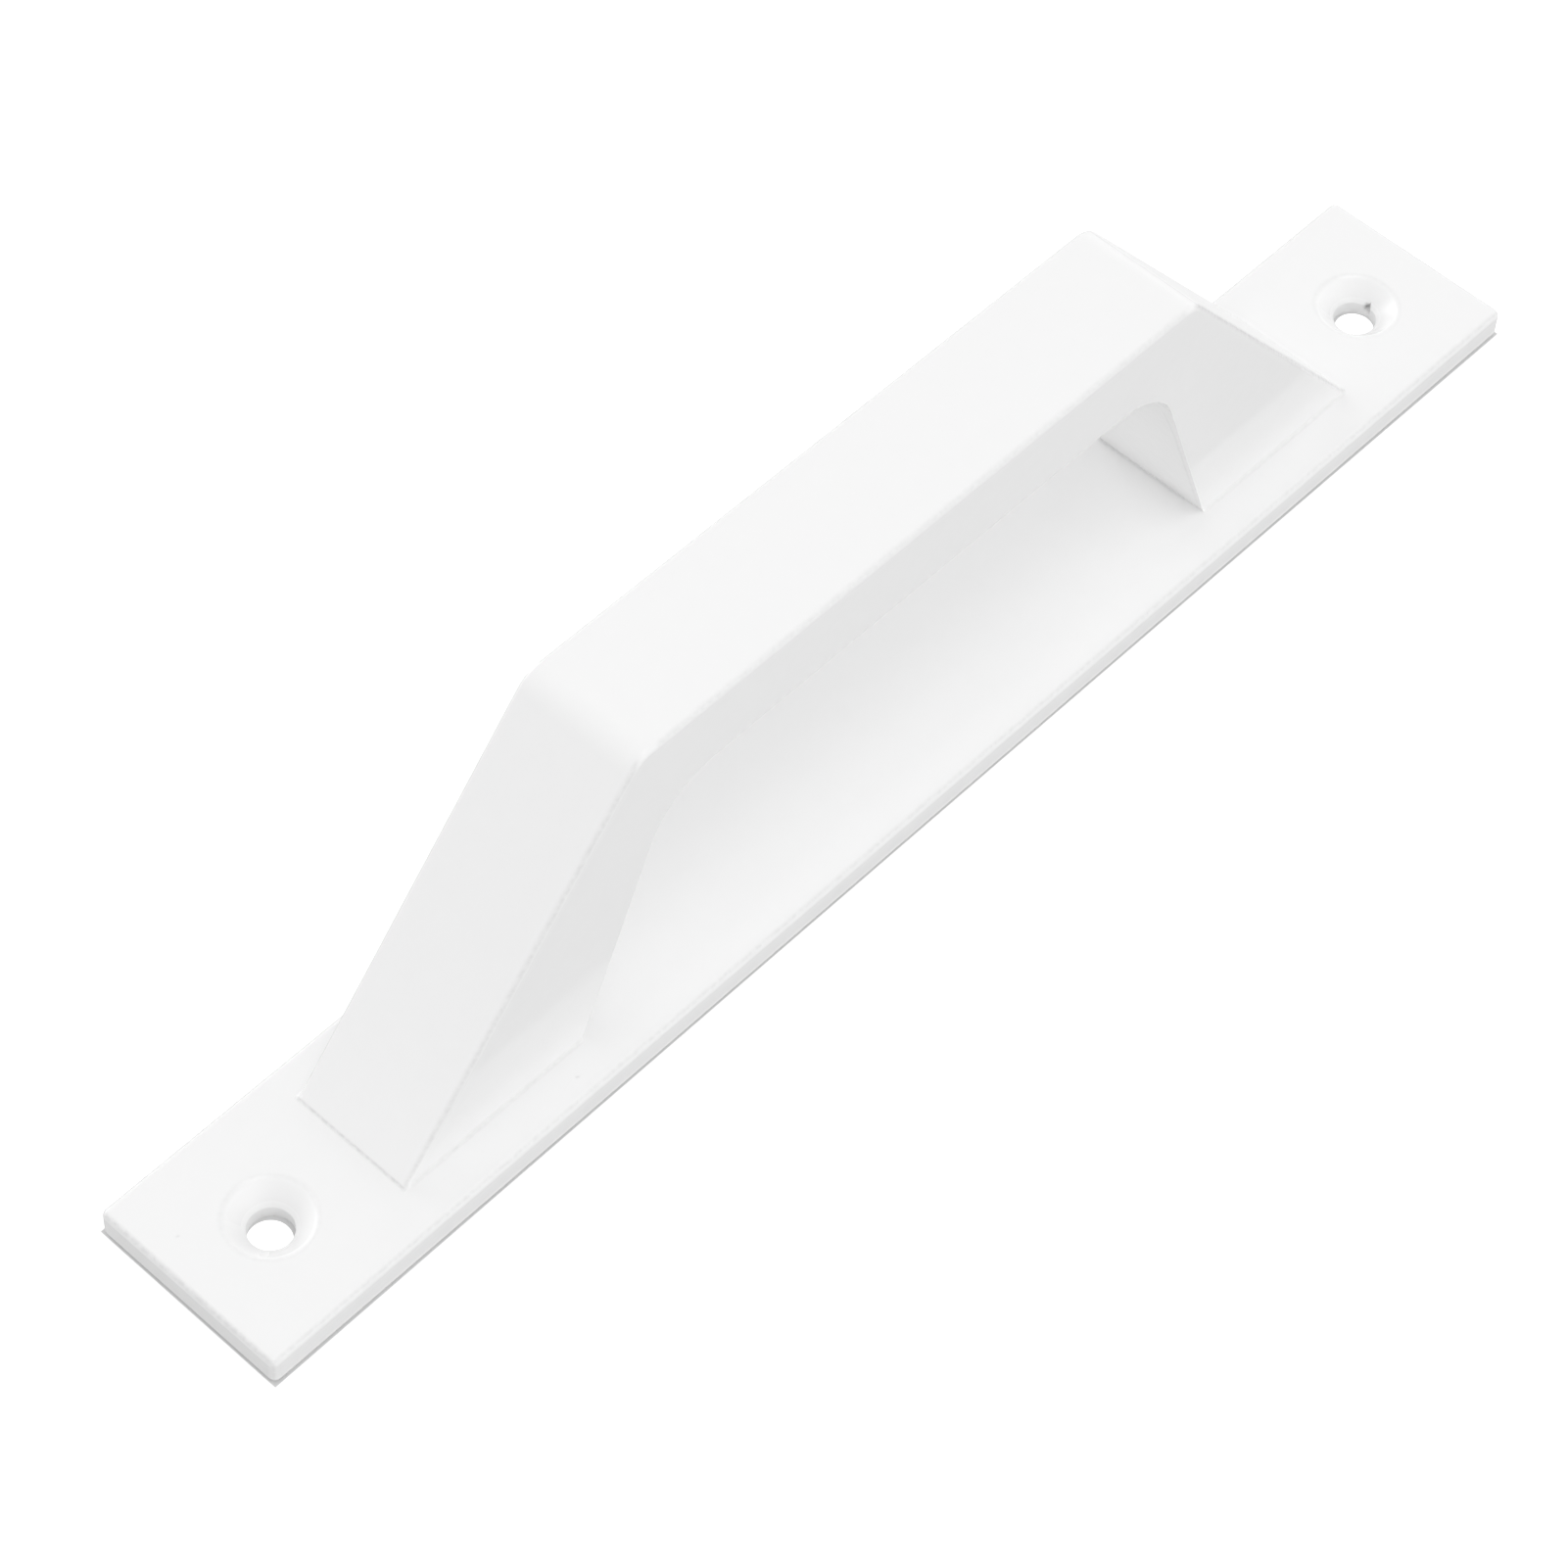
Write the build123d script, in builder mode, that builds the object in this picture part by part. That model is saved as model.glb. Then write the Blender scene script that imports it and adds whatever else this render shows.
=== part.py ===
from build123d import *
import os

# sizes in millimetres: x runs along the handle, z points out of the door
plate_length = 235.0
plate_thickness = 4.7
handle_height = 53.0

# cross sections of the rib and the plate beside it
grip_width = 18.8
grip_depth = 11.3
plate_margin = 5.7
rib_offset = 0.6

# side view of the bridge, measured inwards from each end of the plate
screw_tab_length = 27.3
foot_length = 30.6
outer_slope_run = 39.8
inner_slope_run = 14.4
outer_bend_radius = 4.5
inner_bend_radius = 12.0

# softened edges
plate_corner_radius = 1.0
plate_edge_radius = 0.9
plate_back_radius = 0.9
grip_edge_radius = 0.8
root_radius = 0.4

# countersunk screw holes, one in the middle of each tab
hole_diameter = 6.0
sink_diameter = 11.4
sink_angle = 90.0
sink_rim_radius = 1.2

# nick in the upper part of the wall of the right-hand hole
nick_width = 0.9
nick_depth = 0.65
nick_bottom = 0.9

# places that follow from the sizes
plate_width = grip_width + 2 * plate_margin
grip_underside = handle_height - grip_depth
foot_outer = plate_length / 2 - screw_tab_length
foot_inner = foot_outer - foot_length
grip_end = foot_outer - outer_slope_run
underside_end = foot_inner - inner_slope_run
hole_centre = plate_length / 2 - screw_tab_length / 2
hole_radius = hole_diameter / 2
overcut = 1.0

with BuildPart() as pull_handle:
    # end view of the whole bar: flat plate, standing rib and soft roots between them
    with BuildSketch(Plane.YZ) as end_view:
        Rectangle(plate_width, plate_thickness, align=(Align.CENTER, Align.MIN))
        with Locations((rib_offset, 0)):
            Rectangle(grip_width, handle_height, align=(Align.CENTER, Align.MIN))
        at_plate_level = end_view.vertices().filter_by(lambda v: abs(v.Y - plate_thickness) < 0.001)
        roots = at_plate_level.sort_by(lambda v: abs(v.X - rib_offset))[:2]
        fillet(roots, radius=root_radius)
    extrude(amount=plate_length / 2, both=True)

    # the rib is cut across to its side view: two leaning legs under a straight grip
    with BuildSketch(Plane.XZ) as above_bridge:
        with Locations((0, plate_thickness)):
            Rectangle(plate_length + overcut, handle_height, align=(Align.CENTER, Align.MIN))
        with BuildLine():
            Polyline(
                (-foot_outer, plate_thickness),
                (-grip_end, handle_height),
                (grip_end, handle_height),
                (foot_outer, plate_thickness),
                close=True,
            )
        make_face(mode=Mode.SUBTRACT)
        outer_bends = above_bridge.vertices().filter_by(lambda v: abs(v.Y - handle_height) < 0.001)
        fillet(outer_bends, radius=outer_bend_radius)
    extrude(amount=plate_width, both=True, mode=Mode.SUBTRACT)

    # finger opening between the legs, rounded where they turn into the grip
    with BuildSketch(Plane.XZ) as opening:
        with BuildLine():
            Polyline(
                (-foot_inner, plate_thickness),
                (-underside_end, grip_underside),
                (underside_end, grip_underside),
                (foot_inner, plate_thickness),
                close=True,
            )
        make_face()
        fillet(opening.vertices().group_by(Axis.Y)[-1], radius=inner_bend_radius)
    extrude(amount=plate_width, both=True, mode=Mode.SUBTRACT)

    # rounded edges along both sides of the grip and down the outer slopes of the legs
    above_plate = pull_handle.faces().filter_by(lambda f: f.center().Z > plate_thickness + root_radius)
    outer_faces = above_plate.filter_by(lambda f: f.normal_at().Z > 0.1)
    side_edges = outer_faces.edges().filter_by(
        lambda e: abs(abs(e.center().Y - rib_offset) - grip_width / 2) < 0.001
    )
    fillet(side_edges, radius=grip_edge_radius)

    # softened plate: upright corners, then the top rim, then the back rim
    fillet(pull_handle.edges().filter_by(Axis.Z), radius=plate_corner_radius)
    plate_top = pull_handle.faces().filter_by(Axis.Z).filter_by(
        lambda f: abs(f.center().Z - plate_thickness) < 0.001
    )
    top_rim = plate_top.sort_by(SortBy.AREA)[-1].outer_wire().edges()
    fillet(top_rim, radius=plate_edge_radius)
    back_rim = pull_handle.faces().sort_by(Axis.Z)[0].edges()
    fillet(back_rim, radius=plate_back_radius)

    # countersunk screw holes with soft rims
    with Locations((-hole_centre, 0, plate_thickness), (hole_centre, 0, plate_thickness)):
        CounterSinkHole(hole_radius, sink_diameter / 2, counter_sink_angle=sink_angle)
    sink_rims = pull_handle.edges().filter_by(GeomType.CIRCLE).filter_by(
        lambda e: abs(e.radius - sink_diameter / 2) < 0.001
    )
    fillet(sink_rims, radius=sink_rim_radius)

    # small nick in the wall of the right-hand hole
    with BuildSketch(Plane.XY.offset(nick_bottom)) as nick:
        with BuildLine():
            Polyline(
                (hole_centre + hole_radius - nick_depth, -nick_width),
                (hole_centre + hole_radius + nick_depth, 0),
                (hole_centre + hole_radius - nick_depth, nick_width),
                close=True,
            )
        make_face()
    extrude(amount=plate_thickness, mode=Mode.SUBTRACT)

os.makedirs("parts", exist_ok=True)
pull_handle.part.label = "pull_handle"
export_step(pull_handle.part, "parts/pull_handle.step")
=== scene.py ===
import bpy
from functools import partial
from math import cos, radians, sin
from mathutils import Matrix, Vector

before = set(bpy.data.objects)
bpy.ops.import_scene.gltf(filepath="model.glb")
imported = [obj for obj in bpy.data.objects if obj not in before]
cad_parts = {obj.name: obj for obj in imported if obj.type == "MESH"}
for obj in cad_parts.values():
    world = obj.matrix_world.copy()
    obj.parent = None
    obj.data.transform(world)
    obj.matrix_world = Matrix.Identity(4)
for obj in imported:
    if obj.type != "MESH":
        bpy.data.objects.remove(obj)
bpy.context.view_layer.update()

# camera, as the photograph was taken: angles in degrees, lengths in metres
camera_azimuth = -49.88
camera_elevation = 53.29
camera_roll = 3.61
camera_distance = 0.5980
camera_right = -0.00927
camera_up = -0.00486
camera_near_limit = 0.01
focal_pixels = 4680.3
image_pixels = 1601
sensor_width_mm = 36.0

# paint: grains are noise waves per metre, the height of the orange peel is in metres
paint_white = 0.95
paint_roughness = 0.07
mirror_level = 0.5
tone_grain = 320.0
tone_detail = 3.0
tone_depth = 0.012
peel_grain = 520.0
peel_detail = 1.0
peel_height = 0.00001

# painted shade: thin dark lines along edges and creases where they look shaded, and two specks
# in the coat: points in millimetres, how far each reaches, how dark it is
shade_lines_and_specks = (
    # rough painted shade along the edges down the outer slopes, on the near side and then on
    # the far side
    {"points": ((-90.0, -8.6, 4.6), (-50.2, -8.6, 52.8)), "reach": 0.55, "depth": 0.10},
    {"points": ((90.0, -8.6, 4.6), (50.2, -8.6, 52.8)), "reach": 0.6, "depth": 0.16},
    {"points": ((-90.0, 9.8, 4.5), (-50.2, 9.8, 52.7)), "reach": 0.45, "depth": 0.10},
    {"points": ((90.0, 9.8, 4.5), (50.2, 9.8, 52.7)), "reach": 0.45, "depth": 0.10},
    # painted shade along the near and far edges of the grip
    {"points": ((-47.0, -8.6, 52.8), (48.0, -8.6, 52.8)), "reach": 0.6, "depth": 0.07},
    {"points": ((-48.0, 9.75, 52.75), (50.0, 9.75, 52.75)), "reach": 0.55, "depth": 0.13},
    # painted shade in the creases at the feet and along the roots
    {"points": ((-90.0, -8.8, 4.9), (-90.0, 10.0, 4.9)), "reach": 0.36, "depth": 0.15},
    {"points": ((59.4, -5.5, 4.8), (59.4, 9.5, 4.8)), "reach": 0.45, "depth": 0.08},
    {"points": ((-88.8, -9.0, 4.9), (-60.0, -9.0, 4.9)), "reach": 0.5, "depth": 0.07},
    {"points": ((60.0, -9.0, 4.9), (89.6, -9.0, 4.9)), "reach": 0.5, "depth": 0.055},
    # painted shade along the inner edge of the right leg, and at the foot of the left leg's
    # inner edge
    {
        "points": ((59.3, -8.1, 5.0), (51.3, -7.8, 26.0), (49.0, -7.1, 32.0)),
        "reach": 0.4,
        "depth": 0.05,
    },
    {"points": ((-59.6, -8.8, 4.8), (-57.9, -8.8, 9.2)), "reach": 0.35, "depth": 0.05},
    # painted shade along the near, left, far and right rims of the plate, and down one upright
    # corner
    {"points": ((-117.0, -14.8, 4.6), (117.0, -14.8, 4.6)), "reach": 0.5, "depth": 0.10},
    {"points": ((-117.25, -14.6, 4.45), (-117.25, 14.6, 4.45)), "reach": 0.6, "depth": 0.13},
    {"points": ((-117.0, 14.85, 4.45), (117.0, 14.85, 4.45)), "reach": 0.55, "depth": 0.15},
    {"points": ((117.25, -14.6, 4.45), (117.25, 14.6, 4.45)), "reach": 0.55, "depth": 0.14},
    {"points": ((-117.2, -14.8, 1.0), (-117.2, -14.8, 4.0)), "reach": 0.35, "depth": 0.06},
    # two specks in the coat on the plate, and painted shade in the nick in the right-hand hole
    {"points": ((-113.4, 5.9, 4.7), (-113.2, 5.8, 4.7)), "reach": 0.3, "depth": 0.07},
    {"points": ((-64.1, -12.2, 4.7), (-63.9, -12.3, 4.7)), "reach": 0.3, "depth": 0.09},
    {"points": ((107.0, 0.2, 1.95), (107.0, 0.2, 1.65)), "reach": 0.8, "depth": 0.6},
)

# the marks are uneven: this range of a noise gives this range of their strength
mark_grain = 1500.0
mark_detail = 2.0
mark_noise_low = 0.35
mark_noise_high = 0.65
mark_strength_low = 0.6
mark_strength_high = 1.3

# painted light: places where the coat is made whiter to stand in for more light falling there:
# points in millimetres, how far each reaches, how much whiter it is
painted_light_places = (
    # near margin of the plate
    {"points": ((-86.0, -12.5, 4.7), (86.0, -12.5, 4.7)), "reach": 4.5, "painted_light": 0.02},
    # inner face of the right leg and its foot
    {"points": ((58.0, 0.0, 8.0), (47.0, 0.0, 36.0)), "reach": 14.0, "painted_light": 0.045},
    # foot of the plate's near side
    {"points": ((-117.0, -15.1, 0.9), (117.0, -15.1, 0.9)), "reach": 0.9, "painted_light": 0.045},
)

# duller coat in the countersinks, whiter there as painted light, and a faint ring of painted
# shade round each, all lengths in millimetres
sink_middles = ((-103.85, 0.0, 3.2), (103.85, 0.0, 3.2))
sink_coat_half_height = 1.0
sink_coat_reach = 8.0
sink_painted_light = 0.015
sink_coat_roughness = 0.35
sink_ring_radius = 5.9
sink_ring_reach = 0.6
sink_ring_shade = 0.035

# the right leg's slope is seen edge-on and doesn't mirror: how far its faces turn to +x and +z
dull_slope_from = 0.38
dull_slope_to = 0.60
dull_upwards_from = 0.3
dull_upwards_to = 0.5

# white studio: an even level, a pale horizon and soft lights in it, angles in degrees
sky_level = 0.655
horizon_level = 0.32
horizon_tightness = 6.0
soft_lights = (
    {"azimuth": 280.0, "elevation": 75.0, "tightness": 30.0, "level": 2.65},
    {"azimuth": 90.0, "elevation": 12.0, "tightness": 12.0, "level": 2.30},
    {"azimuth": 270.0, "elevation": 10.0, "tightness": 12.0, "level": 1.15},
    {"azimuth": 0.0, "elevation": 12.0, "tightness": 12.0, "level": 0.50},
)

# floor: its own colour for the light that it sends back, and its white as it is seen
floor_size = 8.0
floor_white = 0.56
floor_seen = 0.75
floor_reflected = 0.13

# painted contact shadow: the floor's seen white is held down where the plate lies on it, with a
# bow in the long sides of that place, and white again under the screw holes
contact_half_length = 0.11775
contact_half_width = 0.01522
contact_bow = 0.0145
contact_softness = 0.0003
contact_shadow_white = 0.12
hole_softness = 0.00015
# painted light: the floor is lighter under the screw holes to send more light up into them
hole_floor_bounce_white = 0.8
# each white circle sits a little off its hole's middle, so that a crescent of painted shadow is
# left at one side of the hole
hole_whites = (
    {"centre": (-0.10434, -0.00018), "radius": 0.00296},
    {"centre": (0.10400, -0.00015), "radius": 0.00283},
)


def metres(millimetres):
    return Vector(millimetres) / 1000


def add_camera():
    azimuth = radians(camera_azimuth)
    elevation = radians(camera_elevation)
    roll = radians(camera_roll)
    level_back = Vector((sin(azimuth), -cos(azimuth), 0))
    back = level_back * cos(elevation) + Vector((0, 0, sin(elevation)))
    level_right = Vector((0, 0, 1)).cross(back).normalized()
    level_up = back.cross(level_right)
    right = cos(roll) * level_right + sin(roll) * level_up
    up = cos(roll) * level_up - sin(roll) * level_right
    data = bpy.data.cameras.new("camera")
    data.sensor_width = sensor_width_mm
    data.lens = focal_pixels / image_pixels * sensor_width_mm
    data.clip_start = camera_near_limit
    camera = bpy.data.objects.new("camera", data)
    bpy.context.scene.collection.objects.link(camera)
    turn = Matrix((right, up, back)).transposed().to_4x4()
    place = back * camera_distance + right * camera_right + up * camera_up
    camera.matrix_world = Matrix.Translation(place) @ turn
    bpy.context.scene.camera = camera


def new_material(name):
    material = bpy.data.materials.new(name)
    material.use_nodes = True
    material.node_tree.nodes.clear()
    return material, material.node_tree.nodes, material.node_tree.links


def fill(links, sockets, values):
    for socket, value in zip(sockets, values):
        if isinstance(value, (int, float, tuple, Vector)):
            socket.default_value = value
        else:
            links.new(value, socket)


def math_node(nodes, links, operation, *values):
    node = nodes.new("ShaderNodeMath")
    node.operation = operation
    fill(links, node.inputs, values)
    return node.outputs[0]


def vector_node(nodes, links, operation, *values):
    node = nodes.new("ShaderNodeVectorMath")
    node.operation = operation
    fill(links, node.inputs, values)
    return node.outputs["Value" if operation in ("DOT_PRODUCT", "LENGTH") else "Vector"]


def scale_node(nodes, links, direction, factor):
    node = nodes.new("ShaderNodeVectorMath")
    node.operation = "SCALE"
    fill(links, (node.inputs[0], node.inputs["Scale"]), (direction, factor))
    return node.outputs["Vector"]


def ramp_node(nodes, links, value, at_zero, at_one):
    node = nodes.new("ShaderNodeMapRange")
    node.interpolation_type = "SMOOTHSTEP"
    node.inputs["From Min"].default_value = min(at_zero, at_one)
    node.inputs["From Max"].default_value = max(at_zero, at_one)
    node.inputs["To Min"].default_value = float(at_zero > at_one)
    node.inputs["To Max"].default_value = float(at_zero < at_one)
    links.new(value, node.inputs["Value"])
    return node.outputs["Result"]


def white_paint():
    material, nodes, links = new_material("white_paint")
    math = partial(math_node, nodes, links)
    vector = partial(vector_node, nodes, links)
    scale = partial(scale_node, nodes, links)
    ramp = partial(ramp_node, nodes, links)
    output = nodes.new("ShaderNodeOutputMaterial")
    shader = nodes.new("ShaderNodeBsdfPrincipled")
    point = nodes.new("ShaderNodeTexCoord").outputs["Object"]

    def noise(grain, detail):
        node = nodes.new("ShaderNodeTexNoise")
        node.inputs["Scale"].default_value = grain
        node.inputs["Detail"].default_value = detail
        links.new(point, node.inputs["Vector"])
        return node.outputs[0]

    def line_mask(start, end, reach):
        span = end - start
        from_start = vector("SUBTRACT", point, start)
        share = math("DIVIDE", vector("DOT_PRODUCT", from_start, span), span.length_squared)
        share = math("MINIMUM", math("MAXIMUM", share, 0.0), 1.0)
        away = vector("SUBTRACT", from_start, scale(span, share))
        return ramp(vector("LENGTH", away), reach, 0.0)

    # duller in the countersinks, where the coat is also whitened below as painted light, with a
    # faint ring of painted shade round each
    in_sink = 0.0
    dark = 0.0
    half_height = metres((0, 0, sink_coat_half_height))
    for place in sink_middles:
        middle = metres(place)
        mask = line_mask(middle - half_height, middle + half_height, sink_coat_reach / 1000)
        in_sink = math("MAXIMUM", mask, in_sink)
        from_axis = vector("MULTIPLY", vector("SUBTRACT", point, middle), (1, 1, 0))
        off_ring = math("SUBTRACT", vector("LENGTH", from_axis), sink_ring_radius / 1000)
        ring = ramp(math("ABSOLUTE", off_ring), sink_ring_reach / 1000, 0.0)
        dark = math("MAXIMUM", math("MULTIPLY", ring, sink_ring_shade), dark)
    roughness = math("MULTIPLY_ADD", in_sink, sink_coat_roughness, paint_roughness)
    links.new(roughness, shader.inputs["Roughness"])

    # painted shade lines and the two specks, with uneven strength along each
    for mark in shade_lines_and_specks:
        places = [metres(p) for p in mark["points"]]
        for start, end in zip(places[:-1], places[1:]):
            mask = line_mask(start, end, mark["reach"] / 1000)
            dark = math("MAXIMUM", math("MULTIPLY", mask, mark["depth"]), dark)
    uneven = nodes.new("ShaderNodeMapRange")
    uneven.inputs["From Min"].default_value = mark_noise_low
    uneven.inputs["From Max"].default_value = mark_noise_high
    uneven.inputs["To Min"].default_value = mark_strength_low
    uneven.inputs["To Max"].default_value = mark_strength_high
    links.new(noise(mark_grain, mark_detail), uneven.inputs["Value"])
    dark = math("MULTIPLY", dark, uneven.outputs["Result"])

    # faint random tone of the coat, with the painted light in the whiter places, less the
    # painted shade lines and specks
    grain = noise(tone_grain, tone_detail)
    tone = math("MULTIPLY_ADD", grain, tone_depth, 1.0 - tone_depth / 2)
    painted_light = math("MULTIPLY", in_sink, sink_painted_light)
    for place in painted_light_places:
        start, end = (metres(p) for p in place["points"])
        mask = line_mask(start, end, place["reach"] / 1000)
        painted_light = math("MAXIMUM", math("MULTIPLY", mask, place["painted_light"]), painted_light)
    with_painted_light = math("MULTIPLY", tone, math("ADD", painted_light, 1.0))
    white = math("MULTIPLY", with_painted_light, math("SUBTRACT", 1.0, dark))
    links.new(scale((paint_white,) * 3, white), shader.inputs["Base Color"])

    # no mirror on the right leg's slope
    facing = nodes.new("ShaderNodeSeparateXYZ")
    links.new(nodes.new("ShaderNodeNewGeometry").outputs["True Normal"], facing.inputs[0])
    to_end = ramp(facing.outputs["X"], dull_slope_from, dull_slope_to)
    upwards = ramp(facing.outputs["Z"], dull_upwards_from, dull_upwards_to)
    dull = math("MULTIPLY", to_end, upwards)
    mirror = math("MULTIPLY_ADD", dull, -mirror_level, mirror_level)
    links.new(mirror, shader.inputs["Specular IOR Level"])

    # faint orange peel
    bump = nodes.new("ShaderNodeBump")
    bump.inputs["Strength"].default_value = 1.0
    bump.inputs["Distance"].default_value = peel_height
    links.new(noise(peel_grain, peel_detail), bump.inputs["Height"])
    links.new(bump.outputs["Normal"], shader.inputs["Normal"])
    links.new(shader.outputs["BSDF"], output.inputs["Surface"])
    return material


def floor_material():
    material, nodes, links = new_material("pale_floor")
    math = partial(math_node, nodes, links)
    ramp = partial(ramp_node, nodes, links)
    output = nodes.new("ShaderNodeOutputMaterial")
    diffuse = nodes.new("ShaderNodeBsdfDiffuse")

    # how far a point of the floor lies outside the plate, or inside a screw hole
    place = nodes.new("ShaderNodeSeparateXYZ")
    links.new(nodes.new("ShaderNodeNewGeometry").outputs["Position"], place.inputs[0])
    along, across = place.outputs["X"], place.outputs["Y"]
    half_width = math(
        "MULTIPLY_ADD", math("MULTIPLY", along, along), contact_bow, contact_half_width
    )
    past_end = math("SUBTRACT", math("ABSOLUTE", along), contact_half_length)
    past_side = math("SUBTRACT", math("ABSOLUTE", across), half_width)
    outside = ramp(math("MAXIMUM", past_end, past_side), -contact_softness, 0.0)
    in_hole = 0.0
    for hole in hole_whites:
        centre_along, centre_across = hole["centre"]
        aside = math("SUBTRACT", along, centre_along)
        ahead = math("SUBTRACT", across, centre_across)
        squares = math("ADD", math("MULTIPLY", aside, aside), math("MULTIPLY", ahead, ahead))
        inside = ramp(math("SQRT", squares), hole["radius"], hole["radius"] - hole_softness)
        in_hole = math("MAXIMUM", inside, in_hole)
    open_floor = math("MAXIMUM", outside, in_hole)
    # painted contact shadow: less seen white where the plate lies on the floor
    white_seen = math("MULTIPLY_ADD", open_floor, floor_seen - contact_shadow_white, contact_shadow_white)
    # painted light: the floor's own colour is lighter under the screw holes, to send more light
    # up into them
    own_white = math("MULTIPLY_ADD", in_hole, hole_floor_bounce_white - floor_white, floor_white)
    links.new(own_white, diffuse.inputs["Color"])

    # white as it is seen, less in what the paint reflects
    path = nodes.new("ShaderNodeLightPath")
    seen = math("MULTIPLY", path.outputs["Is Camera Ray"], white_seen)
    glossy, through = path.outputs["Is Glossy Ray"], path.outputs["Is Transmission Ray"]
    in_paint = math("MAXIMUM", glossy, through)
    glow = nodes.new("ShaderNodeEmission")
    white = math("MULTIPLY_ADD", in_paint, floor_reflected, seen)
    links.new(white, glow.inputs["Strength"])
    both = nodes.new("ShaderNodeAddShader")
    links.new(diffuse.outputs[0], both.inputs[0])
    links.new(glow.outputs[0], both.inputs[1])
    links.new(both.outputs[0], output.inputs["Surface"])
    return material


def add_floor():
    bpy.ops.mesh.primitive_plane_add(size=floor_size, location=(0, 0, 0))
    floor = bpy.context.object
    floor.name = "floor"
    floor.data.materials.append(floor_material())


def add_sky():
    world = bpy.data.worlds.new("world")
    bpy.context.scene.world = world
    world.use_nodes = True
    nodes, links = world.node_tree.nodes, world.node_tree.links
    math = partial(math_node, nodes, links)
    background = nodes["Background"]
    background.inputs["Color"].default_value = (1, 1, 1, 1)

    # an even sky with a pale horizon
    direction = nodes.new("ShaderNodeTexCoord").outputs["Generated"]
    height = nodes.new("ShaderNodeSeparateXYZ")
    links.new(direction, height.inputs[0])
    height_squared = math("MULTIPLY", height.outputs["Z"], height.outputs["Z"])
    horizon = math("POWER", math("SUBTRACT", 1.0, height_squared), horizon_tightness)
    level = math("MULTIPLY_ADD", horizon, horizon_level, sky_level)

    # soft lights in it
    for light in soft_lights:
        around, above = radians(light["azimuth"]), radians(light["elevation"])
        towards = (cos(around) * cos(above), sin(around) * cos(above), sin(above))
        facing = vector_node(nodes, links, "DOT_PRODUCT", direction, towards)
        near = math("POWER", math("MAXIMUM", facing, 0.0), light["tightness"])
        level = math("MULTIPLY_ADD", near, light["level"], level)
    links.new(level, background.inputs["Strength"])


add_camera()
add_sky()
add_floor()
paint = white_paint()
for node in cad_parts.values():
    for slot in node.material_slots:
        slot.material = paint

bpy.context.scene.view_settings.view_transform = "Standard"
